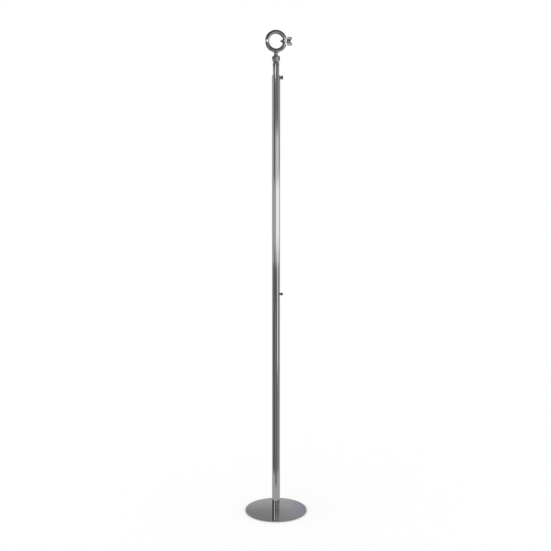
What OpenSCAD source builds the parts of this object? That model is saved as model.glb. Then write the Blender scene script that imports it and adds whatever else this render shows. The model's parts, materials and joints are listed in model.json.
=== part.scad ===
// Free-standing telescopic flagpole: a polished round base, two tubes joined by a
// spigot, a sliding mast and a clamp ring with a wing screw on top.
// Millimetres, +Z up, origin on the floor under the pole's axis.

/* [Base] */
// Diameter of the round base plate
base_d = 250; // [200:1:320]
// Thickness of the base plate
base_t = 4.5; // [4:0.5:12]
// Height of the rounded upper edge of the plate
base_edge = 1.5; // [0.5:0.1:2.5]
// Diameter of one floor pad
pad_d = 24; // [14:1:30]
// Thickness of a floor pad
pad_t = 1; // [1:0.5:4]
// Distance from the plate's edge to a pad
pad_inset = 10; // [4:1:40]
// Thread diameter of the bolt that holds the pole on the plate
bolt_d = 12; // [8:1:14]
// Length of that bolt under its head's outer face
bolt_len = 32; // [26:1:44]

/* [Pole] */
// Outside diameter of the two outer tubes
tube_d = 32; // [30:0.5:45]
// Wall of the outer tubes
tube_wall = 1.5; // [1:0.1:2]
// Length of the lower tube
tube_len = 870; // [500:5:1100]
// Bevel at the ends of the tubes
tube_bevel = 0.5; // [0.2:0.1:0.8]
// Length of the spigot inside each tube
spigot_reach = 70; // [50:1:110]
// Wall of the spigot
spigot_wall = 4; // [3:0.1:5]

/* [Mast] */
// Outside diameter of the sliding mast
mast_d = 25; // [22:0.5:25]
// Wall of the mast tube
mast_wall = 1.5; // [1:0.1:2]
// Length of the mast tube
mast_len = 764; // [400:1:1000]
// Free length in the upper tube between the spigot and the mast
mast_room = 80; // [50:1:200]
// How far the mast stands out of the pole at rest
mast_out = 44; // [20:1:120]
// Length of the guide bush in the mouth of the pole
guide_len = 36; // [28:1:60]
// Length of the glide at the foot of the mast
glide_len = 30; // [15:1:60]

/* [Locking screws] */
// Height of the joint screw above the joint line
joint_screw_up = 22; // [12:1:40]
// Diameter of the joint screw's head
joint_head_d = 11; // [8:0.5:14]
// Length of the joint screw's head
joint_head_len = 8.5; // [5:0.5:12]
// Thread diameter of the joint screw
joint_thread_d = 5; // [4:0.5:6]
// Depth of the top screw below the mouth of the pole
top_screw_down = 8.5; // [8.5:0.5:16]
// Diameter of the top screw's head
top_head_d = 15; // [12:0.5:18]
// Length of the top screw's head
top_head_len = 8; // [6:0.5:14]
// Thread diameter of the top screw
top_thread_d = 6; // [5:0.5:7]
// Number of knurl grooves on the larger head
knurl_count = 28; // [16:1:32]
// Depth of a knurl groove
knurl_depth = 0.5; // [0.2:0.05:0.6]

/* [Head] */
// Turn of the ring head about the mast
head_turn = 11; // [-180:1:180]
// Diameter of the lock collar under the ring
collar_d = 30; // [24:0.5:36]
// Height of the lock collar
collar_h = 24; // [18:0.5:32]
// Rounding of the lock collar's foot
collar_round = 9; // [4:0.5:12]
// Narrowest diameter of the ring's neck
neck_d = 15; // [14:0.5:20]
// Height of the neck from the collar to the ring's outside
neck_h = 14; // [12:0.5:30]
// Outside diameter of the clamp ring
ring_d = 84; // [70:1:110]
// Thickness of the ring's wall from its bore to its outside
ring_wall = 14.5; // [8:0.5:20]
// Length of the ring along its bore
ring_len = 22; // [20:0.5:36]
// Rounding of the ring's outer edges
ring_edge = 7.5; // [2:0.5:9]
// Rounding of the edges of the ring's bore
ring_lip = 6.5; // [1:0.5:8]
// Spread of the neck's foot beyond its waist
neck_foot_flare = 5.5; // [2:0.1:7]
// Spread of the neck's top beyond its waist
neck_top_flare = 3; // [1:0.1:3.5]
// Thread diameter of the wing screw
wing_thread_d = 8; // [6:0.5:9]
// How far the screw's tip stands into the bore at rest
wing_reach = 11; // [6:0.5:18]
// Span over the two wings
wing_span = 32; // [26:0.5:44]
// Length of the wing head along the screw
wing_head_len = 19.5; // [15:0.5:26]
// Depth of the notch between the wings
wing_notch = 9; // [4:0.5:11]
// Thickness of a wing
wing_t = 4; // [3:0.5:6]

/* [Clearances] */
// Radial play of a thread in its hole
thread_play = 0.1; // [0.05:0.01:0.15]
// Radial play of the mast in its guides
slide_play = 0.2; // [0.1:0.05:0.3]
// Play between a screw's tip and what it presses on
tip_play = 0.3; // [0.2:0.05:0.4]
// Radial play of the ring's socket on its stud
stud_play = 0.05; // [0.02:0.01:0.1]
// Play of the screw bush in the ring
bush_play = 0.05; // [0.02:0.01:0.1]
// Gap between a turning face and the face below it
face_gap = 0.3; // [0.2:0.05:0.5]

/* [Hidden] */
$fn = 96;
chrome = [0.72, 0.73, 0.74];
steel = [0.55, 0.55, 0.57];
black = [0.08, 0.08, 0.09];
eps = 0.01;
// Heights
base_top = pad_t + base_t;
joint_z = base_top + tube_len;
upper_len = spigot_reach + mast_room + mast_len - mast_out;
mouth_z = joint_z + upper_len;
mast_top = mouth_z + mast_out;
mast_foot = mast_top - mast_len;
cap_flange = 3.5;
collar_z = mast_top + cap_flange;
neck_z = collar_z + collar_h + face_gap;
ring_z = neck_z + neck_h + ring_d / 2;
// Radii of the tubes
tube_r = tube_d / 2;
bore_r = tube_r - tube_wall;
mast_r = mast_d / 2;
mast_bore_r = mast_r - mast_wall;
spigot_bore_r = bore_r - spigot_wall;
// Bolt and plug at the foot
bolt_head_r = bolt_d;
bolt_head_h = min(bolt_d / 2, base_t - 1);
plug_over = 6;
plug_h = bolt_len - base_t + plug_over;
socket_af = bolt_d * 0.65;
socket_depth = bolt_head_h * 0.8;
// Screw places
joint_screw_z = joint_z + joint_screw_up;
top_screw_z = mouth_z - top_screw_down;
boss_r = top_thread_d / 2 + 3;
boss_neck_r = boss_r - 1.5;
boss_out = 3;
boss_in = 0.5;
guide_hole_r = boss_neck_r + thread_play;
joint_washer_t = 2.5;
joint_washer_r = joint_head_d / 2 - 1;
joint_knurls = round(knurl_count * joint_head_d / top_head_d);
// Stud, plug and glide of the mast
stud_r = 5;
stud_roof = 4;
stud_top = neck_z + neck_h - stud_roof;
cap_plug = 20;
glide_flange = 3;
glide_wall = 3;
collar_bevel = 1.5;
// Ring and its screw
ring_r = ring_d / 2;
ring_bore_r = ring_r - ring_wall;
edge_round = min(ring_edge, ring_wall * 0.53);
lip_round = min(ring_lip, ring_wall * 0.46);
neck_sink = edge_round;
bush_r = wing_thread_d / 2 + 2;
bush_flange_r = wing_thread_d / 2 + 3.5;
bush_flange_t = 3;
wing_gap = 1;
wing_seat_x = ring_r + wing_gap;
tip_r = wing_thread_d / 2 - 1.2;
tip_len = 5;
tip_pin_r = tip_r - 1.2;
tip_pin_len = 3;
tip_x = ring_bore_r - wing_reach;
tip_end_play = 0.5;
hub_r = wing_thread_d / 2 + 2.5;
hub_tip_r = hub_r - 1.5;
hub_len = wing_head_len - wing_notch + 3;
wing_root = 0.5;
wing_root_r = 3;
wing_lobe_r = 5;

// A tube along Z from z0, bevelled outside at both ends
module tube(r, bore, len, z0) {
  b = tube_bevel;
  translate([0, 0, z0]) rotate_extrude()
    polygon([[bore, 0], [r - b, 0], [r, b], [r, len - b], [r - b, len], [bore, len]]);
}

// A rod along +X from x0
module rod_x(r, len, x0) {
  translate([x0, 0, 0]) rotate([0, 90, 0]) cylinder(r = r, h = len);
}

// A knurled head along +X from x0, chamfered at both ends
module knurled_head(r, len, x0, grooves) {
  bevel = r * 0.1;
  outline = [[0, 0], [r - bevel, 0], [r, bevel], [r, len - bevel], [r - bevel, len], [0, len]];
  translate([x0, 0, 0]) rotate([0, 90, 0]) difference() {
    rotate_extrude() polygon(outline);
    for (i = [0 : grooves - 1])
      rotate([0, 0, i * 360 / grooves]) translate([r, 0, -1]) rotate([0, 0, 45])
        translate([-knurl_depth * 0.7, -knurl_depth * 0.7, 0])
          cube([knurl_depth * 1.4, knurl_depth * 1.4, len + 2]);
  }
}

module base_plate() {
  color(chrome) difference() {
    translate([0, 0, pad_t]) rotate_extrude() union() {
      square([base_d / 2 - base_edge, base_t]);
      square([base_d / 2, base_t - base_edge]);
      translate([base_d / 2 - base_edge, base_t - base_edge]) circle(r = base_edge);
    }
    translate([0, 0, pad_t - 1]) cylinder(r = bolt_d / 2 + thread_play, h = base_t + 2);
    translate([0, 0, pad_t]) cylinder(r1 = bolt_head_r + thread_play, r2 = bolt_d / 2 + thread_play,
      h = bolt_head_h);
  }
}

module floor_pad(i) {
  bevel = pad_t / 4;
  color(black) rotate([0, 0, 45 + (i - 1) * 90])
    translate([base_d / 2 - pad_inset - pad_d / 2, 0, 0]) union() {
      cylinder(r1 = pad_d / 2 - bevel, r2 = pad_d / 2, h = bevel);
      translate([0, 0, bevel]) cylinder(r = pad_d / 2, h = pad_t - bevel);
    }
}

module base_bolt() {
  color(steel) translate([0, 0, pad_t]) difference() {
    union() {
      cylinder(r1 = bolt_head_r, r2 = bolt_d / 2, h = bolt_head_h);
      translate([0, 0, bolt_head_h - eps]) cylinder(r = bolt_d / 2, h = bolt_len - bolt_head_h);
    }
    translate([0, 0, -1]) cylinder(d = socket_af / cos(30), h = socket_depth + 1, $fn = 6);
  }
}

module foot_plug() {
  color(steel) translate([0, 0, base_top]) difference() {
    cylinder(r = bore_r, h = plug_h);
    translate([0, 0, -1]) cylinder(r = bolt_d / 2 + thread_play, h = plug_h + 2);
  }
}

module lower_tube() {
  color(chrome) tube(tube_r, bore_r, tube_len, base_top);
}

module joint_spigot() {
  color(steel) difference() {
    tube(bore_r, spigot_bore_r, spigot_reach * 2, joint_z - spigot_reach);
    translate([0, 0, joint_screw_z]) rod_x(joint_thread_d / 2 + thread_play, tube_r, 0);
  }
}

module upper_tube() {
  color(chrome) difference() {
    tube(tube_r, bore_r, upper_len, joint_z);
    translate([0, 0, joint_screw_z]) rod_x(joint_thread_d / 2 + thread_play, tube_d, 0);
    translate([0, 0, top_screw_z]) rod_x(boss_neck_r, tube_d, 0);
  }
}

module joint_screw() {
  seat = tube_r + face_gap;
  color(chrome) translate([0, 0, joint_screw_z]) union() {
    rod_x(joint_thread_d / 2, seat + joint_washer_t - spigot_bore_r, spigot_bore_r);
    rod_x(joint_washer_r, joint_washer_t + eps, seat);
    knurled_head(joint_head_d / 2, joint_head_len, seat + joint_washer_t, joint_knurls);
  }
}

module guide_bush() {
  color(black) difference() {
    tube(bore_r, mast_r + slide_play, guide_len, mouth_z - guide_len);
    translate([0, 0, top_screw_z]) rod_x(guide_hole_r, tube_d, 0);
  }
}

module top_screw_boss() {
  color(chrome) translate([0, 0, top_screw_z]) difference() {
    union() {
      rod_x(boss_neck_r, tube_wall + boss_in + boss_out, bore_r - boss_in);
      difference() {
        rod_x(boss_r, boss_out + tube_wall, bore_r);
        translate([0, 0, -tube_d]) cylinder(r = tube_r, h = tube_d * 2);
      }
    }
    rod_x(top_thread_d / 2 + thread_play, tube_d, 0);
  }
}

module top_screw() {
  seat = tube_r + boss_out + face_gap;
  color(chrome) translate([0, 0, top_screw_z]) union() {
    rod_x(top_thread_d / 2, seat - mast_r - tip_play + 1, mast_r + tip_play);
    knurled_head(top_head_d / 2, top_head_len, seat, knurl_count);
  }
}

module mast_tube() {
  color(chrome) tube(mast_r, mast_bore_r, mast_len, mast_foot);
}

module mast_glide() {
  color(black) translate([0, 0, mast_foot]) difference() {
    union() {
      translate([0, 0, -glide_flange]) cylinder(r = bore_r - slide_play, h = glide_flange);
      cylinder(r = mast_bore_r, h = glide_len);
    }
    translate([0, 0, -glide_flange - 1]) cylinder(r = mast_bore_r - glide_wall,
      h = glide_len + glide_flange + 2);
  }
}

module mast_cap() {
  color(chrome) translate([0, 0, mast_top]) union() {
    translate([0, 0, -cap_plug]) cylinder(r = mast_bore_r, h = cap_plug);
    rotate_extrude() union() {
      square([mast_r - cap_flange, cap_flange]);
      intersection() {
        translate([mast_r - cap_flange, 0]) circle(r = cap_flange);
        square([mast_r, cap_flange]);
      }
    }
    cylinder(r = stud_r, h = stud_top - mast_top);
  }
}

// A turned knop, round at its foot and bevelled at its top
module lock_collar() {
  r = collar_d / 2;
  color(chrome) translate([0, 0, collar_z]) difference() {
    rotate_extrude() union() {
      square([r - collar_round, collar_round]);
      intersection() {
        translate([r - collar_round, collar_round]) circle(r = collar_round);
        square([r, collar_h - collar_bevel]);
      }
      polygon([[0, collar_round], [r, collar_round], [r, collar_h - collar_bevel],
        [r - collar_bevel, collar_h], [0, collar_h]]);
    }
    translate([0, 0, -1]) cylinder(r = stud_r + thread_play, h = collar_h + 2);
  }
}

// Radius of the arc that leaves a waist and spreads by flare over a height
function waist_arc(flare, height) = (flare * flare + height * height) / (2 * flare);

// Half section of the neck, waisted between the collar and the ring
module neck_section() {
  r = neck_d / 2;
  half = neck_h / 2;
  foot_arc = waist_arc(neck_foot_flare, half);
  top_arc = waist_arc(neck_top_flare, half);
  difference() {
    square([r + neck_foot_flare, half]);
    translate([r + foot_arc, half]) circle(r = foot_arc);
  }
  translate([0, half]) difference() {
    square([r + neck_top_flare, half + neck_sink]);
    translate([r + top_arc, 0]) circle(r = top_arc);
  }
}

// What rounding by r takes off the corner of a section; the section lies to the sides x and y of it
module corner_waste(corner, x, y, r) {
  translate(corner) difference() {
    translate([x > 0 ? -1 : -r, y > 0 ? -1 : -r]) square(r + 1);
    translate([x * r, y * r]) circle(r = r);
  }
}

// The ring, turned about Y, nearly round in section with a short flat inside and outside
module ring_body() {
  half = ring_len / 2;
  rotate([90, 0, 0]) rotate_extrude() difference() {
    translate([ring_bore_r, -half]) square([ring_wall, ring_len]);
    for (side = [-1, 1]) {
      corner_waste([ring_r, side * half], -1, -side, edge_round);
      corner_waste([ring_bore_r, side * half], 1, -side, lip_round);
    }
  }
}

module clamp_ring() {
  color(chrome) rotate([0, 0, head_turn]) difference() {
    union() {
      translate([0, 0, ring_z]) ring_body();
      translate([0, 0, neck_z]) rotate_extrude() neck_section();
    }
    translate([0, 0, neck_z - 1]) cylinder(r = stud_r + stud_play, h = stud_top - neck_z + 1 + face_gap);
    translate([0, 0, ring_z]) rod_x(bush_r + bush_play, ring_d, 0);
  }
}

module screw_bush() {
  color(black) rotate([0, 0, head_turn]) translate([0, 0, ring_z]) difference() {
    intersection() {
      union() {
        rod_x(bush_r, ring_r - ring_bore_r + bush_flange_t, ring_bore_r - bush_flange_t);
        rod_x(bush_flange_r, bush_flange_t + 3, ring_bore_r - bush_flange_t);
      }
      union() {
        rod_x(bush_r, ring_d, 0);
        translate([0, ring_len, 0]) rotate([90, 0, 0])
          cylinder(r = ring_bore_r - bush_play, h = 2 * ring_len);
      }
    }
    rod_x(wing_thread_d / 2 + thread_play, ring_d, 0);
  }
}

// One broad wing in the plane of the screw's axis, rounded at its corners
module wing_outline() {
  tip_y = wing_span / 2;
  lobe_x = wing_head_len - wing_lobe_r;
  lobe_y = tip_y - wing_lobe_r;
  union() {
    translate([lobe_x, lobe_y]) circle(r = wing_lobe_r);
    translate([wing_root + wing_root_r, tip_y - wing_root_r]) circle(r = wing_root_r);
    polygon([[wing_root, 0], [wing_root, tip_y - wing_root_r], [wing_root + wing_root_r, tip_y],
      [lobe_x, tip_y], [wing_head_len, lobe_y], [lobe_x + wing_lobe_r * 0.6, lobe_y - wing_lobe_r * 0.8],
      [wing_head_len - wing_notch, 0]]);
  }
}

module wing_screw() {
  shank = wing_seat_x - tip_x - tip_len;
  color(chrome) rotate([0, 0, head_turn]) translate([0, 0, ring_z]) difference() {
    union() {
      rod_x(wing_thread_d / 2, shank + wing_gap, tip_x + tip_len);
      translate([wing_seat_x, 0, 0]) rotate([0, 90, 0])
        cylinder(r1 = hub_r, r2 = hub_tip_r, h = hub_len);
      for (side = [0, 180]) rotate([side, 0, 0]) translate([wing_seat_x, wing_t / 2, 0])
        rotate([90, 0, 0]) linear_extrude(wing_t) wing_outline();
    }
    rod_x(tip_pin_r + stud_play, tip_pin_len + tip_end_play, tip_x + tip_len - eps);
  }
}

module pressure_tip() {
  nose = tip_r * 0.5;
  color(black) rotate([0, 0, head_turn]) translate([tip_x, 0, ring_z]) rotate([0, 90, 0]) union() {
    cylinder(r1 = tip_r - nose, r2 = tip_r, h = nose);
    translate([0, 0, nose]) cylinder(r = tip_r, h = tip_len - face_gap - nose);
    cylinder(r = tip_pin_r, h = tip_len + tip_pin_len - face_gap);
  }
}

base_plate();
floor_pad(1);  // floor_pad_1
floor_pad(2);  // floor_pad_2
floor_pad(3);  // floor_pad_3
floor_pad(4);  // floor_pad_4
base_bolt();
foot_plug();
lower_tube();
joint_spigot();
upper_tube();
joint_screw();
guide_bush();
top_screw_boss();
top_screw();
mast_tube();
mast_glide();
mast_cap();
lock_collar();
clamp_ring();
screw_bush();
wing_screw();
pressure_tip();
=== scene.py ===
import json
import math
import bmesh
import bpy
import numpy as np
from mathutils import Matrix, Vector


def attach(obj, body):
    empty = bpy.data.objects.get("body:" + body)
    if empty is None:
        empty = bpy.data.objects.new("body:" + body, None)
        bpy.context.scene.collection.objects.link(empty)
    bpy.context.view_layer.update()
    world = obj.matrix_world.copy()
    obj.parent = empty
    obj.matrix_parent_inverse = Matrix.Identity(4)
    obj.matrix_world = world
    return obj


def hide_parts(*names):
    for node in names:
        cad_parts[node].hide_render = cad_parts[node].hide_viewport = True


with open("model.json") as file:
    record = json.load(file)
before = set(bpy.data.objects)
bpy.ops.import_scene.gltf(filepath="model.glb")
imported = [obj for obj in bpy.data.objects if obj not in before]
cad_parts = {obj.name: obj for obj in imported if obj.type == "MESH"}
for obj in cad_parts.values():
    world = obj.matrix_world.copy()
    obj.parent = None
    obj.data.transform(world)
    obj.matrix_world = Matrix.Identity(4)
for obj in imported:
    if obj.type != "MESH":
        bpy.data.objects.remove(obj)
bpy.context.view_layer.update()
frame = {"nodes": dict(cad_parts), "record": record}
nodes = frame["nodes"]
print("frame loaded:", len(nodes), "nodes")

mm = 0.001  # the ring and the wing screw are drawn in millimetres
weldGap = 1e-6  # points nearer than this are one point
toX = Matrix.Rotation(math.pi / 2, 4, "Y")  # lays what is made along Z along X


# camera where the photograph was taken; focal length and frame are in the photograph's pixels
camera = {"back": 3.93, "height": 1.588, "aside": -0.002, "pitch": 8.914, "focal": 1009.9, "frame": 551.0,
          "sensor": 36.0}


def makeCamera(c):
    data = bpy.data.cameras.new("camera")
    data.sensor_width = c["sensor"]
    data.lens = c["focal"] / c["frame"] * c["sensor"]
    obj = bpy.data.objects.new("camera", data)
    obj.location = (c["aside"], -c["back"], c["height"])
    obj.rotation_euler = (math.radians(90 - c["pitch"]), 0, 0)
    bpy.context.scene.collection.objects.link(obj)
    bpy.context.scene.camera = obj


makeCamera(camera)
bpy.context.scene.view_settings.view_transform = "Standard"
print("camera set")


# a socket that can be used in sums, and the tree it belongs to
class Value:
    def __init__(self, shade, socket):
        self.shade = shade
        self.socket = socket

    def __add__(self, other):
        return self.shade.maths("ADD", self, other)

    def __radd__(self, other):
        return self.shade.maths("ADD", other, self)

    def __sub__(self, other):
        return self.shade.maths("SUBTRACT", self, other)

    def __rsub__(self, other):
        return self.shade.maths("SUBTRACT", other, self)

    def __mul__(self, other):
        return self.shade.maths("MULTIPLY", self, other)

    def __rmul__(self, other):
        return self.shade.maths("MULTIPLY", other, self)

    def __truediv__(self, other):
        return self.shade.maths("DIVIDE", self, other)

    def __pow__(self, other):
        return self.shade.maths("POWER", self, other)

    def smooth(self, low, high, start=0.0, end=1.0):
        settings = {"interpolation_type": "SMOOTHSTEP"}
        values = {"Value": self, "From Min": low, "From Max": high, "To Min": start, "To Max": end}
        return self.shade.node("ShaderNodeMapRange", settings, values)


class Shade:
    def __init__(self, tree):
        self.tree = tree

    # one node: its type, its settings, then the values or links of its sockets
    def node(self, kind, settings=None, values=None, out=0):
        made = self.tree.nodes.new(kind)
        for key, setting in (settings or {}).items():
            setattr(made, key, setting)
        for key, value in (values or {}).items():
            if isinstance(value, Value):
                self.tree.links.new(value.socket, made.inputs[key])
            else:
                made.inputs[key].default_value = value
        return Value(self, made.outputs[out]) if len(made.outputs) else None

    def maths(self, operation, first, second=0.0):
        return self.node("ShaderNodeMath", {"operation": operation}, {0: first, 1: second})

    def place(self):
        return self.node("ShaderNodeTexCoord", out="Object")

    def axes(self, point):
        split = self.tree.nodes.new("ShaderNodeSeparateXYZ")
        self.tree.links.new(point.socket, split.inputs[0])
        return [Value(self, split.outputs[i]) for i in range(3)]

    # noise; where it has a span, it runs from 0 to 1 between the span's ends
    def layer(self, point, noise):
        if "stretch" in noise:
            point = self.node("ShaderNodeMapping", {}, {"Vector": point, "Scale": noise["stretch"]})
        values = {"Vector": point, "Scale": noise.get("scale", 1.0), "Detail": noise["detail"]}
        grain = self.node("ShaderNodeTexNoise", {"noise_dimensions": "3D"}, values)
        return grain.smooth(*noise["span"]) if "span" in noise else grain

    def mix(self, factor, first, second):
        colourA, colourB, colourOut = 6, 7, 2  # the node's colour sockets
        values = {0: factor, colourA: first, colourB: second}
        return self.node("ShaderNodeMix", {"data_type": "RGBA"}, values, out=colourOut)

    def bump(self, height, strength, distance):
        values = {"Height": height, "Strength": strength, "Distance": distance}
        return self.node("ShaderNodeBump", {}, values)


def newMaterial(name):
    material = bpy.data.materials.new(name)
    material.use_nodes = True
    shade = Shade(material.node_tree)
    surface = next(n for n in material.node_tree.nodes if n.type == "BSDF_PRINCIPLED")
    return material, shade, surface


def feed(shade, surface, **inputs):
    for name, value in inputs.items():
        socket = surface.inputs[name.replace("_", " ")]
        if isinstance(value, Value):
            shade.tree.links.new(value.socket, socket)
        else:
            socket.default_value = value


# finishes: tint and rough say how much a layer changes the colour and the roughness,
# and bump is the strength and the depth in metres
tubeFinish = {
    "tone": (0.62, 0.62, 0.63), "haze": (0.54, 0.54, 0.56), "gloss": 0.05, "bump": (0.05, 0.0006),
    "cloud": {"stretch": (9, 9, 2.2), "detail": 4.0, "span": (0.5, 0.75), "share": 0.6},
    "prints": {"stretch": (60, 60, 35), "detail": 2.0, "span": (0.58, 0.7), "share": 0.4},
    "lines": {"stretch": (900, 900, 3), "detail": 2.0, "span": (0.5, 0.8), "rough": 0.12, "deep": 0.2},
    "dents": {"stretch": (22, 22, 5), "detail": 2.0},
    "smudge": {"tint": 0.5, "rough": 0.10},
}


def tubeChrome(name, f, scratch):
    material, shade, surface = newMaterial(name)
    place = shade.place()
    cloud, prints, lines, dents = (shade.layer(place, f[k]) for k in ("cloud", "prints", "lines", "dents"))
    smudge = cloud * f["cloud"]["share"] + cloud * prints * f["prints"]["share"]
    haze = smudge * f["smudge"]["tint"] + lines * scratch
    roughness = f["gloss"] + smudge * f["smudge"]["rough"] + lines * (f["lines"]["rough"] * scratch)
    height = dents + lines * (f["lines"]["deep"] * scratch)
    feed(shade, surface, Base_Color=shade.mix(haze, (*f["tone"], 1), (*f["haze"], 1)),
         Roughness=roughness, Metallic=1.0, Normal=shade.bump(height, *f["bump"]))
    return material


baseFinish = {
    "tone": (0.60, 0.60, 0.615), "haze": (0.47, 0.47, 0.49), "gloss": 0.035, "bump": (0.04, 0.0002),
    "lathe": {"across": 900.0, "down": 40.0, "detail": 2.0, "rough": 0.03},
    "cloud": {"scale": 14.0, "detail": 4.0, "span": (0.42, 0.72), "tint": 0.45, "rough": 0.06},
    "specks": {"scale": 420.0, "detail": 1.0, "span": (0.72, 0.78), "tint": 0.35, "rough": 0.2},
    "rim": {"start": 0.1235, "wide": 0.0015, "rough": 0.08},
}


def baseChrome(f):
    material, shade, surface = newMaterial("baseChrome")
    place = shade.place()
    x, y, z = shade.axes(place)
    radius = (x * x + y * y) ** 0.5
    grooves = {0: radius * f["lathe"]["across"], 1: z * f["lathe"]["down"]}
    lathe = shade.layer(shade.node("ShaderNodeCombineXYZ", {}, grooves), f["lathe"])
    cloud, specks = (shade.layer(place, f[k]) for k in ("cloud", "specks"))
    worn = radius.smooth(f["rim"]["start"], f["rim"]["start"] + f["rim"]["wide"])
    haze = cloud * f["cloud"]["tint"] + specks * f["specks"]["tint"]
    roughness = f["gloss"] + cloud * f["cloud"]["rough"] + lathe * f["lathe"]["rough"]
    roughness = roughness + worn * f["rim"]["rough"] + specks * f["specks"]["rough"]
    feed(shade, surface, Base_Color=shade.mix(haze, (*f["tone"], 1), (*f["haze"], 1)),
         Roughness=roughness, Metallic=1.0, Normal=shade.bump(lathe, *f["bump"]))
    return material


headFinish = {
    "tone": (0.60, 0.60, 0.61), "haze": (0.40, 0.40, 0.42), "gloss": 0.08, "bump": (0.10, 0.0006),
    "skin": {"scale": 160.0, "detail": 2.0},
    "cloud": {"scale": 38.0, "detail": 4.0, "span": (0.45, 0.75), "tint": 0.3, "rough": 0.06},
    "pits": {"scale": 700.0, "detail": 1.0, "span": (0.7, 0.78), "tint": 0.4, "rough": 0.15},
}


def headChrome(f):
    material, shade, surface = newMaterial("headChrome")
    place = shade.place()
    skin, cloud, pits = (shade.layer(place, f[k]) for k in ("skin", "cloud", "pits"))
    haze = cloud * f["cloud"]["tint"] + pits * f["pits"]["tint"]
    roughness = f["gloss"] + cloud * f["cloud"]["rough"] + pits * f["pits"]["rough"]
    feed(shade, surface, Base_Color=shade.mix(haze, (*f["tone"], 1), (*f["haze"], 1)),
         Roughness=roughness, Metallic=1.0, Normal=shade.bump(skin, *f["bump"]))
    return material


screwFinish = {
    "tone": (0.42, 0.42, 0.43), "worn": (0.52, 0.50, 0.46), "dirt": (0.08, 0.08, 0.08), "gloss": 0.14,
    "bump": (0.1, 0.0002),
    "cloud": {"scale": 260.0, "detail": 3.0, "span": (0.45, 0.7), "tint": 0.7, "rough": 0.1},
    "grime": {"scale": 1500.0, "detail": 3.0, "span": (0.55, 0.75), "tint": 0.45, "rough": 0.25},
}


def screwChrome(f):
    material, shade, surface = newMaterial("screwChrome")
    place = shade.place()
    cloud, grime = (shade.layer(place, f[k]) for k in ("cloud", "grime"))
    plated = shade.mix(cloud * f["cloud"]["tint"], (*f["tone"], 1), (*f["worn"], 1))
    roughness = f["gloss"] + cloud * f["cloud"]["rough"] + grime * f["grime"]["rough"]
    feed(shade, surface, Base_Color=shade.mix(grime * f["grime"]["tint"], plated, (*f["dirt"], 1)),
         Roughness=roughness, Metallic=1.0, Normal=shade.bump(grime, *f["bump"]))
    return material


zincFinish = {
    "tone": (0.50, 0.51, 0.53), "tint": (0.50, 0.47, 0.38), "gloss": 0.32, "bump": (0.1, 0.0002),
    "bloom": {"scale": 120.0, "detail": 4.0, "span": (0.4, 0.7), "rough": 0.12},
    "grain": {"scale": 900.0, "detail": 2.0, "rough": 0.08},
}


def zincSteel(f):
    material, shade, surface = newMaterial("zincSteel")
    place = shade.place()
    bloom, grain = (shade.layer(place, f[k]) for k in ("bloom", "grain"))
    roughness = f["gloss"] + bloom * f["bloom"]["rough"] + grain * f["grain"]["rough"]
    feed(shade, surface, Base_Color=shade.mix(bloom, (*f["tone"], 1), (*f["tint"], 1)),
         Roughness=roughness, Metallic=1.0, Normal=shade.bump(grain, *f["bump"]))
    return material


# the dark pieces: scale is the grain's, and what is rubbed shows in larger patches
darkFinishes = {
    "black_steel": {"name": "blackSteel", "tone": (0.03, 0.03, 0.033), "pale": (0.09, 0.09, 0.09),
                    "scale": 600.0, "rough": (0.3, 0.45), "metal": 0.6, "deep": 0.0002},
    "pad_rubber": {"name": "padRubber", "tone": (0.025, 0.025, 0.025), "pale": (0.07, 0.07, 0.068),
                   "scale": 500.0, "rough": (0.7, 0.9), "metal": 0.0, "deep": 0.0003},
    "bush_nylon": {"name": "bushNylon", "tone": (0.03, 0.03, 0.032), "pale": (0.06, 0.06, 0.06),
                   "scale": 800.0, "rough": (0.4, 0.55), "metal": 0.0, "deep": 0.0001},
    "tip_nylon": {"name": "tipNylon", "tone": (0.02, 0.02, 0.022), "pale": (0.06, 0.06, 0.06),
                  "scale": 700.0, "rough": (0.4, 0.6), "metal": 0.0, "deep": 0.0001},
}
rubbing = {"grainDetail": 3.0, "grainTint": 0.2, "scale": 0.16, "detail": 4.0, "span": (0.48, 0.76),
           "tint": 0.6, "bump": 0.25}


def darkFinish(f, r):
    material, shade, surface = newMaterial(f["name"])
    place = shade.place()
    grain = shade.layer(place, {"scale": f["scale"], "detail": r["grainDetail"]})
    rub = shade.layer(place, {"scale": f["scale"] * r["scale"], "detail": r["detail"], "span": r["span"]})
    haze = rub * r["tint"] + grain * r["grainTint"]
    least, most = f["rough"]
    feed(shade, surface, Base_Color=shade.mix(haze, (*f["tone"], 1), (*f["pale"], 1)),
         Roughness=least + rub * (most - least), Metallic=f["metal"],
         Normal=shade.bump(grain, r["bump"], f["deep"]))
    return material


finishes = {
    "base_chrome": baseChrome(baseFinish),
    "tube_chrome": tubeChrome("tubeChrome", tubeFinish, scratch=0.15),
    "mast_chrome": tubeChrome("mastChrome", tubeFinish, scratch=0.5),
    "head_chrome": headChrome(headFinish),
    "screw_chrome": screwChrome(screwFinish),
    "zinc_steel": zincSteel(zincFinish),
}
for slot, dark in darkFinishes.items():
    finishes[slot] = darkFinish(dark, rubbing)
slotOf = {row["node"]: row["material_slot"] for row in frame["record"]["subparts"]}
for name, obj in nodes.items():
    finish = "mast_chrome" if name == "mast_tube" else slotOf[name]
    obj.data.materials.clear()
    obj.data.materials.append(finishes[finish])
print("finishes set")


# meshes: turned profiles, a net drawn over a field, and trees for what repeats
def meshObject(name, verts, faces):
    mesh = bpy.data.meshes.new(name)
    mesh.from_pydata(verts, [], faces)
    obj = bpy.data.objects.new(name, mesh)
    bpy.context.scene.collection.objects.link(obj)
    return obj


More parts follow.
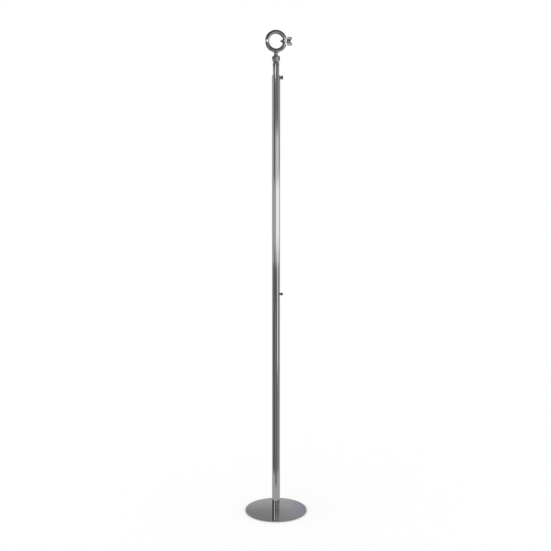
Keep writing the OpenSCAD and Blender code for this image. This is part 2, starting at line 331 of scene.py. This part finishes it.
# edges over sharp degrees stay sharp
def newMesh(name, verts, faces, sharp=35):
    mesh = bpy.data.meshes.new(name)
    mesh.from_pydata(verts, [], faces)
    bm = bmesh.new()
    bm.from_mesh(mesh)
    bmesh.ops.remove_doubles(bm, verts=bm.verts, dist=weldGap)
    bmesh.ops.recalc_face_normals(bm, faces=bm.faces)
    bm.to_mesh(mesh)
    bm.free()
    mesh.shade_smooth()
    mesh.set_sharp_from_angle(angle=math.radians(sharp))
    return mesh


# a profile's path; each corner is its radius, its height and how far back it is rounded
def rounded(corners):
    steps = 5
    path = []
    for i, (r, z, cut) in enumerate(corners):
        here = Vector((r, z))
        if cut == 0 or i in (0, len(corners) - 1):
            path.append(here)
            continue
        back = (Vector(corners[i - 1][:2]) - here).normalized()
        ahead = (Vector(corners[i + 1][:2]) - here).normalized()
        start, end = here + back * cut, here + ahead * cut
        for k in range(steps + 1):
            t = k / steps
            path.append(start * (1 - t) ** 2 + here * 2 * t * (1 - t) + end * t ** 2)
    return path


def turned(name, corners, steps=72):
    onAxis = 1e-7
    verts, faces, rings = [], [], []
    for r, z in rounded(corners):
        count = steps if r > onAxis else 1
        rings.append(range(len(verts), len(verts) + count))
        for i in range(count):
            a = 2 * math.pi * i / steps
            verts.append((r * math.cos(a), r * math.sin(a), z))
    for low, high in zip(rings, rings[1:]):
        for i in range(steps):
            j = (i + 1) % steps
            quad = [low[i % len(low)], low[j % len(low)], high[j % len(high)], high[i % len(high)]]
            face = list(dict.fromkeys(quad))
            if len(face) > 2:
                faces.append(face)
    return newMesh(name, verts, faces)


# fields: below zero inside a form, joined over a blend of k
def smoothMin(a, b, k):
    h = np.clip(0.5 + 0.5 * (b - a) / k, 0, 1)
    return b * (1 - h) + a * h - k * h * (1 - h)


def smoothMax(a, b, k):
    return -smoothMin(-a, -b, k)


def roundEdge(p, q, r):
    return np.hypot(np.maximum(p, 0), np.maximum(q, 0)) + np.minimum(np.maximum(p, q), 0) - r


def roundBox(a, b, halfA, halfB, r):
    return roundEdge(np.abs(a) - halfA + r, np.abs(b) - halfB + r, r)


def slopeOf(field, points, h):
    steps = np.eye(3) * h
    return np.stack([(field(points + s) - field(points - s)) / (2 * h) for s in steps], -1)


# moves points to where the field is zero, by a step at most in each round
def settle(field, points, step, rounds):
    nearby, flattest = step * 0.05, 0.05
    for _ in range(rounds):
        slope = slopeOf(field, points, nearby)
        size = np.maximum((slope ** 2).sum(-1), flattest)
        points = points - slope * np.clip(field(points) / size, -step, step)[:, None]
    return points


netRounds = {"first": 6, "even": 4, "after": 3}


# a net of quads where the field is zero, evened out between its points
def netMesh(name, field, net):
    low, high, step = net["low"], net["high"], net["step"]
    cellCorners = 8
    axes = [np.arange(a, b + step, step) for a, b in zip(low, high)]
    inside = field(np.stack(np.meshgrid(*axes, indexing="ij"), -1)) < 0
    near = inside.astype(int)
    for axis in range(3):
        near = np.delete(near, -1, axis) + np.delete(near, 0, axis)
    crossed = (near > 0) & (near < cellCorners)
    index = np.full(crossed.shape, -1)
    index[crossed] = np.arange(crossed.sum())
    points = np.array(low) + step * (np.argwhere(crossed) + 0.5)
    quads = []
    for axis in range(3):
        order = (axis, (axis + 1) % 3, (axis + 2) % 3)
        side, cell = inside.transpose(order), index.transpose(order)
        i, j, k = (np.argwhere(side[:-1, 1:-1, 1:-1] != side[1:, 1:-1, 1:-1]) + (0, 1, 1)).T
        quad = np.stack([cell[i, j - 1, k - 1], cell[i, j, k - 1], cell[i, j, k], cell[i, j - 1, k]], 1)
        quads.append(np.where(side[i, j, k][:, None], quad, quad[:, ::-1]))
    quads = np.concatenate(quads)
    points = settle(field, points, step, netRounds["first"])
    for _ in range(netRounds["even"]):
        total, count = np.zeros_like(points), np.zeros(len(points))
        for a, b in ((0, 1), (1, 2), (2, 3), (3, 0)):
            for p, q in ((a, b), (b, a)):
                np.add.at(total, quads[:, p], points[quads[:, q]])
                np.add.at(count, quads[:, p], 1)
        evened = points * 0.5 + total / count[:, None] * 0.5
        points = settle(field, evened, step, netRounds["after"])
    return newMesh(name, (points * mm).tolist(), quads.tolist(), sharp=50)


class Tree(Shade):
    def __init__(self, name, sizes):
        group = bpy.data.node_groups.new(name, "GeometryNodeTree")
        super().__init__(group)
        group.interface.new_socket("Geometry", in_out="OUTPUT", socket_type="NodeSocketGeometry")
        for size in sizes:
            kind = "NodeSocketMaterial" if size == "Finish" else "NodeSocketFloat"
            group.interface.new_socket(size, in_out="INPUT", socket_type=kind)
        self.inputs = group.nodes.new("NodeGroupInput")

    def size(self, name):
        return Value(self, self.inputs.outputs[name])

    def close(self, shape):
        real = self.node("GeometryNodeRealizeInstances", {}, {0: shape})
        finish = self.node("GeometryNodeSetMaterial", {}, {0: real, "Material": self.size("Finish")})
        self.node("NodeGroupOutput", {}, {0: finish})

    def grow(self, name, **sizes):
        holder = meshObject(name, [], [])
        modifier = holder.modifiers.new("tree", "NODES")
        modifier.node_group = self.tree
        for item in self.tree.interface.items_tree:
            if item.in_out == "INPUT":
                modifier[item.identifier] = sizes[item.name]
        grown = holder.evaluated_get(bpy.context.evaluated_depsgraph_get())
        mesh = bpy.data.meshes.new_from_object(grown)
        bpy.data.objects.remove(holder)
        verts = [tuple(v.co) for v in mesh.vertices]
        return newMesh(name, verts, [tuple(p.vertices) for p in mesh.polygons], sharp=25)


# crossed knurling on a barrel along Z, closed at both ends; valley is the part of a groove that slopes
knurl = {"around": 217, "along": 41, "valley": (0.05, 0.40), "bevelLong": 0.0009, "cap": 0.002}


def knurlTree(k):
    t = Tree("knurling", ["Radius", "Length", "Depth", "Grooves", "Lead", "Bevel", "Finish"])
    grid = t.node("GeometryNodeMeshGrid", {}, {
        "Size X": 1.0, "Size Y": 1.0, "Vertices X": k["around"], "Vertices Y": k["along"]})
    x, y, _ = t.axes(t.node("GeometryNodeInputPosition"))
    u, v = x + 0.5, y + 0.5

    def groove(phase):
        return t.maths("PINGPONG", phase, 0.5).smooth(*k["valley"], 1.0, 0.0)

    turns = u * t.size("Grooves")
    climb = v * t.size("Lead")
    cut = t.maths("MAXIMUM", groove(turns + climb), groove(turns - climb))
    edge = 0.5 - t.maths("ABSOLUTE", y)
    bevel = (edge * t.size("Length")).smooth(0.0, k["bevelLong"], 1.0, 0.0) * t.size("Bevel")
    barrel = t.size("Radius") - cut * t.size("Depth") - bevel
    radius = barrel * t.maths("GREATER_THAN", edge, k["cap"])
    angle = u * (2 * math.pi)
    c, s = t.maths("COSINE", angle), t.maths("SINE", angle)
    spot = t.node("ShaderNodeCombineXYZ", {}, {0: radius * c, 1: radius * s, 2: v * t.size("Length")})
    wrapped = t.node("GeometryNodeSetPosition", {}, {"Geometry": grid, "Position": spot})
    t.close(t.node("GeometryNodeMergeByDistance", {}, {"Geometry": wrapped, "Distance": weldGap}))
    return t


# a screw thread: a four-sided ridge along a spiral
def threadTree():
    turnSteps, ridgeSides = 28, 4
    t = Tree("thread", ["Radius", "Length", "Pitch", "Ridge", "Finish"])
    spiral = t.node("GeometryNodeCurveSpiral", {}, {
        "Resolution": turnSteps, "Rotations": t.size("Length") / t.size("Pitch"), "Height": t.size("Length"),
        "Start Radius": t.size("Radius"), "End Radius": t.size("Radius")})
    upright = t.node("GeometryNodeSetCurveNormal", {"mode": "Z_UP"}, {0: spiral})
    section = {"Resolution": ridgeSides, "Radius": t.size("Ridge")}
    ridge = t.node("GeometryNodeCurvePrimitiveCircle", {}, section)
    swept = {"Curve": upright, "Profile Curve": ridge, "Fill Caps": True}
    t.close(t.node("GeometryNodeCurveToMesh", {}, swept))
    return t


def joined(name, meshes, matrix):
    bm = bmesh.new()
    for mesh in meshes:
        mesh.materials.clear()
        bm.from_mesh(mesh)
    whole = bpy.data.meshes.new(name)
    bm.to_mesh(whole)
    bm.free()
    whole.transform(matrix)
    return whole


def dress(name, mesh, body, slot, *replaced):
    obj = bpy.data.objects.new(name, mesh)
    bpy.context.scene.collection.objects.link(obj)
    mesh.materials.clear()
    mesh.materials.append(finishes[slot])
    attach(obj, body)
    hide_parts(*replaced)
    print("piece", name, len(mesh.polygons), "faces")


# the two knurled screws, in metres from each one's seat, and what they share
knobs = [
    {"name": "topKnob", "node": "top_screw", "body": "top_knob", "z": 1.737, "seat": 0.0193, "head": 0.0075,
     "length": 0.008, "core": 0.0030, "shank": -0.0065, "pitch": 0.001, "grooves": 26.0, "lead": 5.0,
     "washer": 0.0},
    {"name": "jointKnob", "node": "joint_screw", "body": "joint_knob", "z": 0.8975, "seat": 0.0163,
     "head": 0.0055, "length": 0.0085, "core": 0.0025, "shank": -0.0058, "pitch": 0.0008, "grooves": 20.0,
     "lead": 5.0, "washer": 0.0025},
]
grip = {"threadDeep": 0.0004, "pointIn": 0.0005, "pointLong": 0.0006, "washerIn": 0.001,
        "washerRound": 0.0003, "coreIn": 0.0009, "faceRound": 0.0005, "dishIn": 0.0012,
        "dishFloorIn": 0.0016, "dishDeep": 0.0004, "dishRound": 0.0002, "barrelShort": 0.0008,
        "barrelUp": 0.0001, "knurlDeep": 0.00045, "knurlBevel": 0.0006, "ridge": 0.465, "threadUp": 0.0003}


def knobProfile(k, g):
    foot, top = k["washer"], k["washer"] + k["length"]
    root, inner = k["core"] - g["threadDeep"], k["head"] - g["coreIn"]
    dishFloor = top - g["dishDeep"]
    corners = [(0, k["shank"], 0), (root - g["pointIn"], k["shank"], 0),
               (root, k["shank"] + g["pointLong"], 0), (root, 0.0, 0)]
    if foot:
        rim = k["head"] - g["washerIn"]
        corners += [(rim, 0.0, g["washerRound"]), (rim, foot, 0)]
    corners += [(inner, foot, 0), (inner, top, g["faceRound"]), (inner - g["dishIn"], top, g["dishRound"]),
                (inner - g["dishFloorIn"], dishFloor, g["dishRound"]), (0, dishFloor, 0)]
    return corners


def makeKnob(k, g):
    finish = finishes["screw_chrome"]
    ridge = g["ridge"] * k["pitch"]
    barrel = knurling.grow("barrel", Radius=k["head"], Length=k["length"] - g["barrelShort"],
                           Depth=g["knurlDeep"], Grooves=k["grooves"], Lead=k["lead"],
                           Bevel=g["knurlBevel"], Finish=finish)
    barrel.transform(Matrix.Translation((0, 0, k["washer"] + g["barrelUp"])))
    worm = thread.grow("worm", Radius=k["core"] - ridge, Length=-k["shank"] - g["pointLong"],
                       Pitch=k["pitch"], Ridge=ridge, Finish=finish)
    worm.transform(Matrix.Translation((0, 0, k["shank"] + g["threadUp"])))
    body = turned("body", knobProfile(k, g))
    place = Matrix.Translation((k["seat"], 0, k["z"])) @ toX
    dress(k["name"], joined(k["name"], [body, barrel, worm], place), k["body"], "screw_chrome", k["node"])


knurling, thread = knurlTree(knurl), threadTree()
for knob in knobs:
    makeKnob(knob, grip)


# the base plate, turned, with a countersunk hole below for its bolt
plate = {"radius": 0.125, "low": 0.001, "top": 0.0055, "edge": 0.0015, "edgeIn": 0.0019, "lowRound": 0.0004,
         "lowIn": 0.0008, "middle": 0.06, "hole": 0.0061, "sink": 0.0121, "sinkLip": 0.0004,
         "sinkTop": 0.0045, "steps": 320}


def makeBase(p):
    r, low, top = p["radius"], p["low"], p["top"]
    corners = [(p["hole"], top, 0), (p["middle"], top, 0), (r - p["edgeIn"], top, 0), (r, top, p["edge"]),
               (r, low, p["lowRound"]), (r - p["lowIn"], low, 0), (p["sink"] + p["sinkLip"], low, 0),
               (p["sink"], low, 0), (p["hole"], p["sinkTop"], 0), (p["hole"], top, 0)]
    dress("baseDisc", turned("baseDisc", corners, p["steps"]), "stand", "base_chrome", "base_plate")


makeBase(plate)


# the collar under the ring, turned: round at its foot and bevelled at its top
collar = {"foot": 1.793, "top": 1.817, "radius": 0.015, "round": 0.009, "bevel": 0.0015, "hole": 0.0051,
          "bevelRound": 0.0004, "topRound": 0.0003, "arcSteps": 12, "steps": 160}


def makeCollar(c):
    r, foot, top = c["radius"], c["foot"], c["top"]
    corners = [(c["hole"], foot, 0), (r - c["round"], foot, 0)]
    for i in range(1, c["arcSteps"] + 1):
        a = math.radians(90 * i / c["arcSteps"])
        corners.append((r - c["round"] * (1 - math.sin(a)), foot + c["round"] * (1 - math.cos(a)), 0))
    corners += [(r, top - c["bevel"], c["bevelRound"]), (r - c["bevel"], top, c["topRound"]),
                (c["hole"], top, 0), (c["hole"], foot, 0)]
    dress("collarKnop", turned("collarKnop", corners, c["steps"]), "mast", "head_chrome", "lock_collar")


makeCollar(collar)


# the ring and its neck are one casting; millimetres from the ring's centre, turned with the head
head = {"turn": math.radians(11), "ringZ": 1.8733, "outer": 42.0, "bore": 27.5, "half": 11.0, "edge": 7.5,
        "lip": 6.5, "farOut": 20.0, "neckFoot": -56.0, "neckHeight": 14.0, "waist": 7.5, "footFlare": 5.5,
        "topFlare": 3.0, "footBlend": 0.6, "blend": 4.0, "taper": 0.9, "socket": 5.05, "socketTop": 10.3,
        "bushHole": 6.05, "net": {"low": (-44, -14.5, -58), "high": (44, 14.5, 44), "step": 0.62}}
ringPlace = Matrix.Translation((0, 0, head["ringZ"])) @ Matrix.Rotation(head["turn"], 4, "Z")


def ringField(points):
    h = head
    x, y, z = points[..., 0], points[..., 1], points[..., 2]
    reach = np.hypot(x, z)
    outside = roundBox(reach - (h["outer"] - h["edge"]), y, h["edge"], h["half"], h["edge"])
    inside = roundBox(reach - (h["bore"] + h["farOut"]), y, h["farOut"], h["half"], h["lip"])
    ring = np.maximum(outside, inside)
    up, mid = z - h["neckFoot"], h["neckHeight"] / 2
    spread = np.hypot(x, y)
    flare = np.where(up < mid, h["footFlare"], h["topFlare"])
    arc = (flare ** 2 + mid ** 2) / (2 * flare)
    wide = h["waist"] + flare - h["taper"] * np.maximum(up - h["neckHeight"], 0)
    neck = np.maximum(arc - np.hypot(spread - h["waist"] - arc, up - mid), spread - wide)
    neck = smoothMax(np.maximum(neck, up - h["neckHeight"] - h["edge"]), -up, h["footBlend"])
    whole = smoothMin(ring, neck, h["blend"])
    socket = np.maximum(spread - h["socket"], up - h["socketTop"])
    hole = np.maximum(np.hypot(y, z) - h["bushHole"], -x)
    return np.maximum(whole, -np.minimum(socket, hole))


def makeRing(h):
    mesh = netMesh("ringCasting", ringField, h["net"])
    mesh.transform(ringPlace)
    dress("ringCasting", mesh, "ring_head", "head_chrome", "clamp_ring")


makeRing(head)


# the wing screw: a cast head with two broad wings on a threaded shank, in millimetres
wing = {"seat": 43.0, "length": 19.5, "span": 32.0, "root": 0.5, "corner": 4.5, "notch": 7.5, "notchAt": 21.5,
        "notchBlend": 1.5, "thick": 4.4, "thin": 0.03, "edge": 1.3, "hub": 6.5, "hubTip": 5.0,
        "hubLength": 13.5, "hubBlend": 1.2, "blend": 2.4, "start": 21.5, "core": 3.25, "pointIn": 0.5,
        "pointLong": 0.6, "pitch": 1.25, "thread": 4.0, "ridge": 0.6, "pin": 1.65, "pinDepth": 3.5,
        "sunk": 2, "steps": 48, "net": {"low": (-2, -8.5, -18), "high": (22, 8.5, 18), "step": 0.42}}


def wingField(points):
    w = wing
    along, aside, up = points[..., 0], points[..., 1], points[..., 2]
    middle, half = (w["root"] + w["length"]) / 2, (w["length"] - w["root"]) / 2
    flat = roundBox(along - middle, up, half, w["span"] / 2, w["corner"])
    notch = w["notch"] - np.hypot(along - w["notchAt"], up)
    flat = smoothMax(flat, notch, w["notchBlend"])
    thick = w["thick"] / 2 - w["thin"] * np.abs(up)
    wings = roundEdge(flat + w["edge"], np.abs(aside) - thick + w["edge"], w["edge"])
    taper = w["hub"] + (w["hubTip"] - w["hub"]) * np.clip(along / w["hubLength"], 0, 1)
    ends = np.abs(along - w["hubLength"] / 2) - w["hubLength"] / 2
    hub = smoothMax(np.hypot(aside, up) - taper, ends, w["hubBlend"])
    return smoothMin(wings, hub, w["blend"])


def makeWing(w):
    wings = netMesh("wingHead", wingField, w["net"])
    wings.transform(Matrix.Translation((w["seat"] * mm, 0, 0)))
    start, pinEnd, end = w["start"], w["start"] + w["pinDepth"], w["seat"] + w["sunk"]
    corners = [(0, pinEnd), (w["pin"], pinEnd), (w["pin"], start), (w["core"] - w["pointIn"], start),
               (w["core"], start + w["pointLong"]), (w["core"], end), (0, end)]
    shank = turned("shank", [(r * mm, z * mm, 0) for r, z in corners], w["steps"])
    shank.transform(toX)
    worm = thread.grow("worm", Radius=(w["thread"] - w["ridge"]) * mm,
                       Length=(w["seat"] - start - w["ridge"]) * mm, Pitch=w["pitch"] * mm,
                       Ridge=w["ridge"] * mm, Finish=finishes["screw_chrome"])
    worm.transform(toX @ Matrix.Translation((0, 0, (start + w["ridge"]) * mm)))
    mesh = joined("wingScrew", [wings, shank, worm], ringPlace)
    dress("wingScrew", mesh, "wing_knob", "screw_chrome", "wing_screw")


makeWing(wing)


# floor, world and lamp: pale and plain
studio = {"world": 0.93, "sun": 0.45, "spread": 70, "from": (-0.5, -0.55, 1.0), "floor": 400.0,
          "paper": (0.95, 0.95, 0.95), "fibre": (0.97, 0.97, 0.97), "rough": 0.9,
          "grain": {"scale": 60.0, "detail": 3.0}}


def makeFloor(s):
    h = s["floor"]
    floor = meshObject("floor", [(-h, -h, 0), (h, -h, 0), (h, h, 0), (-h, h, 0)], [(0, 1, 2, 3)])
    material, shade, surface = newMaterial("floorPaper")
    grain = shade.layer(shade.place(), s["grain"])
    feed(shade, surface, Base_Color=shade.mix(grain, (*s["paper"], 1), (*s["fibre"], 1)),
         Roughness=s["rough"], Specular_IOR_Level=0.0)
    floor.data.materials.append(material)


# white where it is seen, a little less where it lights
def makeWorld(s):
    world = bpy.data.worlds.new("studioWorld")
    bpy.context.scene.world = world
    world.use_nodes = True
    tree = world.node_tree
    shade = Shade(tree)
    path = tree.nodes.new("ShaderNodeLightPath")
    rays = ("Is Camera Ray", "Is Glossy Ray", "Is Transmission Ray")
    seen = [Value(shade, path.outputs[ray]) for ray in rays]
    white = shade.maths("MINIMUM", seen[0] + seen[1] + seen[2], 1.0)
    background = next(n for n in tree.nodes if n.type == "BACKGROUND")
    background.inputs["Color"].default_value = (1, 1, 1, 1)
    tree.links.new((s["world"] + white * (1 - s["world"])).socket, background.inputs["Strength"])


def makeLamp(s):
    data = bpy.data.lights.new("softTop", "SUN")
    data.energy = s["sun"]
    data.angle = math.radians(s["spread"])
    lamp = bpy.data.objects.new("softTop", data)
    lamp.rotation_euler = (-Vector(s["from"])).to_track_quat("-Z", "Y").to_euler()
    lamp.visible_glossy = False
    bpy.context.scene.collection.objects.link(lamp)


makeFloor(studio)
makeWorld(studio)
makeLamp(studio)

# a grey room that only reflections see, with the cards and lamps of a studio on it:
# aim and half width in degrees from the camera's side (right hand positive), near and far in metres,
# up the wall or out along the floor, the ceiling and the shelf, a dark disc below the ring
room = {
    "radius": 7.0, "height": 9.0, "inner": 0.1255, "floorZ": 0.0006, "steps": 96,
    "shelfZ": 1.826, "shelfInner": 0.03, "shelfOuter": 0.5,
    "grey": {"wall": 0.50, "floor": 0.50, "ceiling": 0.12, "shelf": 0.16},
    "wall": [
        {"aim": 180, "half": 13, "blur": 5, "near": -0.2, "far": 2.1, "soft": 0.03, "level": 0.10},
        {"aim": -153, "half": 8, "blur": 3, "near": -0.2, "far": 2.1, "soft": 0.03, "level": 1.15},
        {"aim": 150, "half": 9, "blur": 6, "near": -0.2, "far": 2.1, "soft": 0.03, "level": 0.85},
        {"aim": 180, "half": 180, "blur": 1, "near": 2.13, "far": 12.0, "soft": 0.02, "level": 0.09},
        {"aim": -95, "half": 62, "blur": 20, "near": 2.13, "far": 12.0, "soft": 0.02, "level": 0.05},
        {"aim": 95, "half": 42, "blur": 14, "near": 2.16, "far": 2.7, "soft": 0.02, "level": 0.15},
        {"aim": 180, "half": 40, "blur": 10, "near": 2.30, "far": 6.0, "soft": 0.10, "level": 0.52},
        {"aim": -158, "half": 22, "blur": 8, "near": 2.20, "far": 2.62, "soft": 0.05, "level": 1.30},
        {"aim": -120, "half": 22, "blur": 8, "near": 3.20, "far": 5.0, "soft": 0.30, "level": 0.60},
        {"aim": 0, "half": 130, "blur": 10, "near": 2.68, "far": 3.0, "soft": 0.04, "level": 0.42},
        {"aim": 125, "half": 30, "blur": 8, "near": 2.68, "far": 3.0, "soft": 0.04, "level": 0.62},
        {"aim": -44, "half": 10, "blur": 4, "near": 2.68, "far": 3.0, "soft": 0.04, "level": 1.25},
        {"aim": -14, "half": 8, "blur": 4, "near": 2.68, "far": 3.0, "soft": 0.04, "level": 0.08},
        {"aim": 14, "half": 8, "blur": 4, "near": 2.68, "far": 3.0, "soft": 0.04, "level": 0.65},
        {"aim": -108, "half": 34, "blur": 4, "near": 2.68, "far": 3.0, "soft": 0.04, "level": 0.04},
        {"aim": 50, "half": 50, "blur": 9, "near": 0.15, "far": 0.95, "soft": 0.15, "level": 1.28},
        {"aim": 50, "half": 20, "blur": 9, "near": -0.2, "far": 0.3, "soft": 0.06, "level": 1.10},
        {"aim": -44, "half": 14, "blur": 7, "near": -0.2, "far": 0.17, "soft": 0.05, "level": 0.20},
        {"aim": 46, "half": 46, "blur": 9, "near": 0.95, "far": 1.42, "soft": 0.12, "level": 0.80},
        {"aim": 5, "half": 64, "blur": 10, "near": 1.48, "far": 2.16, "soft": 0.12, "level": 0.22},
        {"aim": 127, "half": 24, "blur": 10, "near": 1.0, "far": 2.13, "soft": 0.10, "level": 0.30},
        {"aim": -44, "half": 16, "blur": 7, "near": 0.90, "far": 2.16, "soft": 0.06, "level": 0.09},
        {"aim": -20, "half": 6, "blur": 2, "near": 2.03, "far": 2.13, "soft": 0.03, "level": 4.00},
        {"aim": 180, "half": 40, "blur": 10, "near": 2.82, "far": 6.0, "soft": 0.06, "level": 0.34},
        {"aim": -175, "half": 5.4, "blur": 1.5, "near": 2.80, "far": 6.0, "soft": 0.06, "level": 0.285},
        {"aim": 176, "half": 2.2, "blur": 0.9, "near": 2.50, "far": 6.0, "soft": 0.20, "level": 0.40,
         "tint": (0.98, 0.95, 1.16)},
    ],
    "floor": [
        {"aim": 180, "half": 13, "blur": 5, "near": 0.48, "far": 8.0, "soft": 0.07, "level": 0.10},
        {"aim": -153, "half": 8, "blur": 3, "near": 0.48, "far": 8.0, "soft": 0.07, "level": 0.95},
        {"aim": 150, "half": 9, "blur": 6, "near": 0.48, "far": 8.0, "soft": 0.07, "level": 0.75},
        {"aim": 0, "half": 104, "blur": 10, "near": 0.48, "far": 8.0, "soft": 0.07, "level": 0.31},
        {"aim": -34, "half": 62, "blur": 9, "near": 0.48, "far": 8.0, "soft": 0.07, "level": 0.145},
        {"aim": 0, "half": 22, "blur": 8, "near": 0.31, "far": 0.60, "soft": 0.05, "level": 0.17},
        {"aim": -14, "half": 9, "blur": 5, "near": 0.60, "far": 4.6, "soft": 0.40, "level": 0.30},
        {"aim": -77, "half": 14, "blur": 8, "near": 4.0, "far": 8.0, "soft": 0.60, "level": 0.22},
        {"aim": 44, "half": 11, "blur": 6, "near": 2.30, "far": 8.0, "soft": 0.50, "level": 1.05},
    ],
    "ceiling": [
        {"aim": -95, "half": 70, "blur": 25, "near": 0.5, "far": 8.0, "soft": 0.5, "level": 0.05},
    ],
    "shelf": [
        {"aim": -75, "half": 35, "blur": 15, "near": 0.05, "far": 0.6, "soft": 0.02, "level": 0.30},
        {"aim": -95, "half": 40, "blur": 15, "near": 0.16, "far": 0.6, "soft": 0.03, "level": 0.05},
        {"aim": 50, "half": 40, "blur": 15, "near": 0.04, "far": 0.6, "soft": 0.02, "level": 0.36},
    ],
}


def flagMaterial(name, f):
    material = bpy.data.materials.new(name)
    material.use_nodes = True
    tree = material.node_tree
    tree.nodes.clear()
    shade = Shade(tree)
    x, y, z = shade.axes(shade.place())
    radius = (x * x + y * y) ** 0.5
    along = z if name == "wall" else radius
    grey = f["grey"][name]
    colour = (grey, grey, grey, 1)
    for c in f[name]:
        aim, half, blur = (math.radians(c[k]) for k in ("aim", "half", "blur"))
        toward = (x * math.sin(aim) - y * math.cos(aim)) / radius
        across = shade.maths("ARCCOSINE", toward).smooth(half + blur, half - blur)
        inside = along.smooth(c["near"] - c["soft"], c["near"] + c["soft"])
        inside = inside * along.smooth(c["far"] + c["soft"], c["far"] - c["soft"])
        tint = [c["level"] * v for v in c.get("tint", (1, 1, 1))]
        colour = shade.mix(across * inside, colour, (*tint, 1))
    glow = shade.node("ShaderNodeEmission", {}, {"Color": colour, "Strength": 1.0})
    shade.node("ShaderNodeOutputMaterial", {}, {"Surface": glow})
    return material


def hideFrom(obj, *rays):
    for ray in rays:
        setattr(obj, "visible_" + ray, False)


# the shelf goes up with the mast
def makeFlags(f):
    count = f["steps"]
    ring = [(math.cos(a), math.sin(a)) for a in (2 * math.pi * i / count for i in range(count))]
    sides = [(i, (i + 1) % count, (i + 1) % count + count, i + count) for i in range(count)]
    wall = [(f["radius"] * c, f["radius"] * s, h) for h in (0.0, f["height"]) for c, s in ring]
    floor = [(r * c, r * s, f["floorZ"]) for r in (f["inner"], f["radius"]) for c, s in ring]
    shelf = [(r * c, r * s, f["shelfZ"]) for r in (f["shelfInner"], f["shelfOuter"]) for c, s in ring]
    surfaces = {"wall": (wall, sides), "floor": (floor, sides), "ceiling": (wall[count:], [range(count)]),
                "shelf": (shelf, sides)}
    for name, (verts, faces) in surfaces.items():
        obj = meshObject(name + "Flag", verts, faces)
        obj.data.materials.append(flagMaterial(name, f))
        hideFrom(obj, "camera", "diffuse", "transmission", "volume_scatter", "shadow")
        if name == "shelf":
            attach(obj, "mast")


makeFlags(room)

# small lamps close to the ring, which go up with the mast: each stands away from a point about it,
# on the side of its aim, as wide as its half angle and from its low to its high end
headLamps = [
    {"about": (0.036, -0.008), "away": 0.06, "aim": 106, "half": 36, "z": (1.848, 1.902), "level": 1.15},
    {"about": (0.036, 0.0), "away": 0.045, "aim": 22, "half": 26, "z": (1.859, 1.891), "level": 0.72},
    {"about": (0.052, 0.01), "away": 0.06, "aim": 26, "half": 26, "z": (1.838, 1.908), "level": 0.18},
    {"about": (-0.034, 0.0), "away": 0.05, "aim": 2, "half": 14, "z": (1.8715, 1.8825), "level": 2.6},
    {"about": (-0.034, 0.0), "away": 0.05, "aim": -50, "half": 38, "z": (1.8715, 1.8825), "level": 0.8},
    {"about": (0.0, 0.0), "away": 0.15, "aim": 26, "half": 20, "z": (1.8145, 1.8205), "level": 1.5},
]


def makeHeadLamps(lamps):
    for i, c in enumerate(lamps):
        low, high = c["z"]
        aim = math.radians(c["aim"])
        out = Vector((math.sin(aim), -math.cos(aim), 0))
        data = bpy.data.lights.new("headLamp%d" % i, "AREA")
        data.shape = "RECTANGLE"
        data.size = 2 * c["away"] * math.tan(math.radians(c["half"]))
        data.size_y = high - low
        data.energy = c["level"] * math.pi * data.size * data.size_y
        lamp = bpy.data.objects.new(data.name, data)
        lamp.location = Vector((*c["about"], (low + high) / 2)) + out * c["away"]
        lamp.rotation_euler = (-out).to_track_quat("-Z", "Y").to_euler()
        hideFrom(lamp, "camera", "diffuse", "transmission", "volume_scatter")
        bpy.context.scene.collection.objects.link(lamp)
        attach(lamp, "mast")


makeHeadLamps(headLamps)
print("studio set")
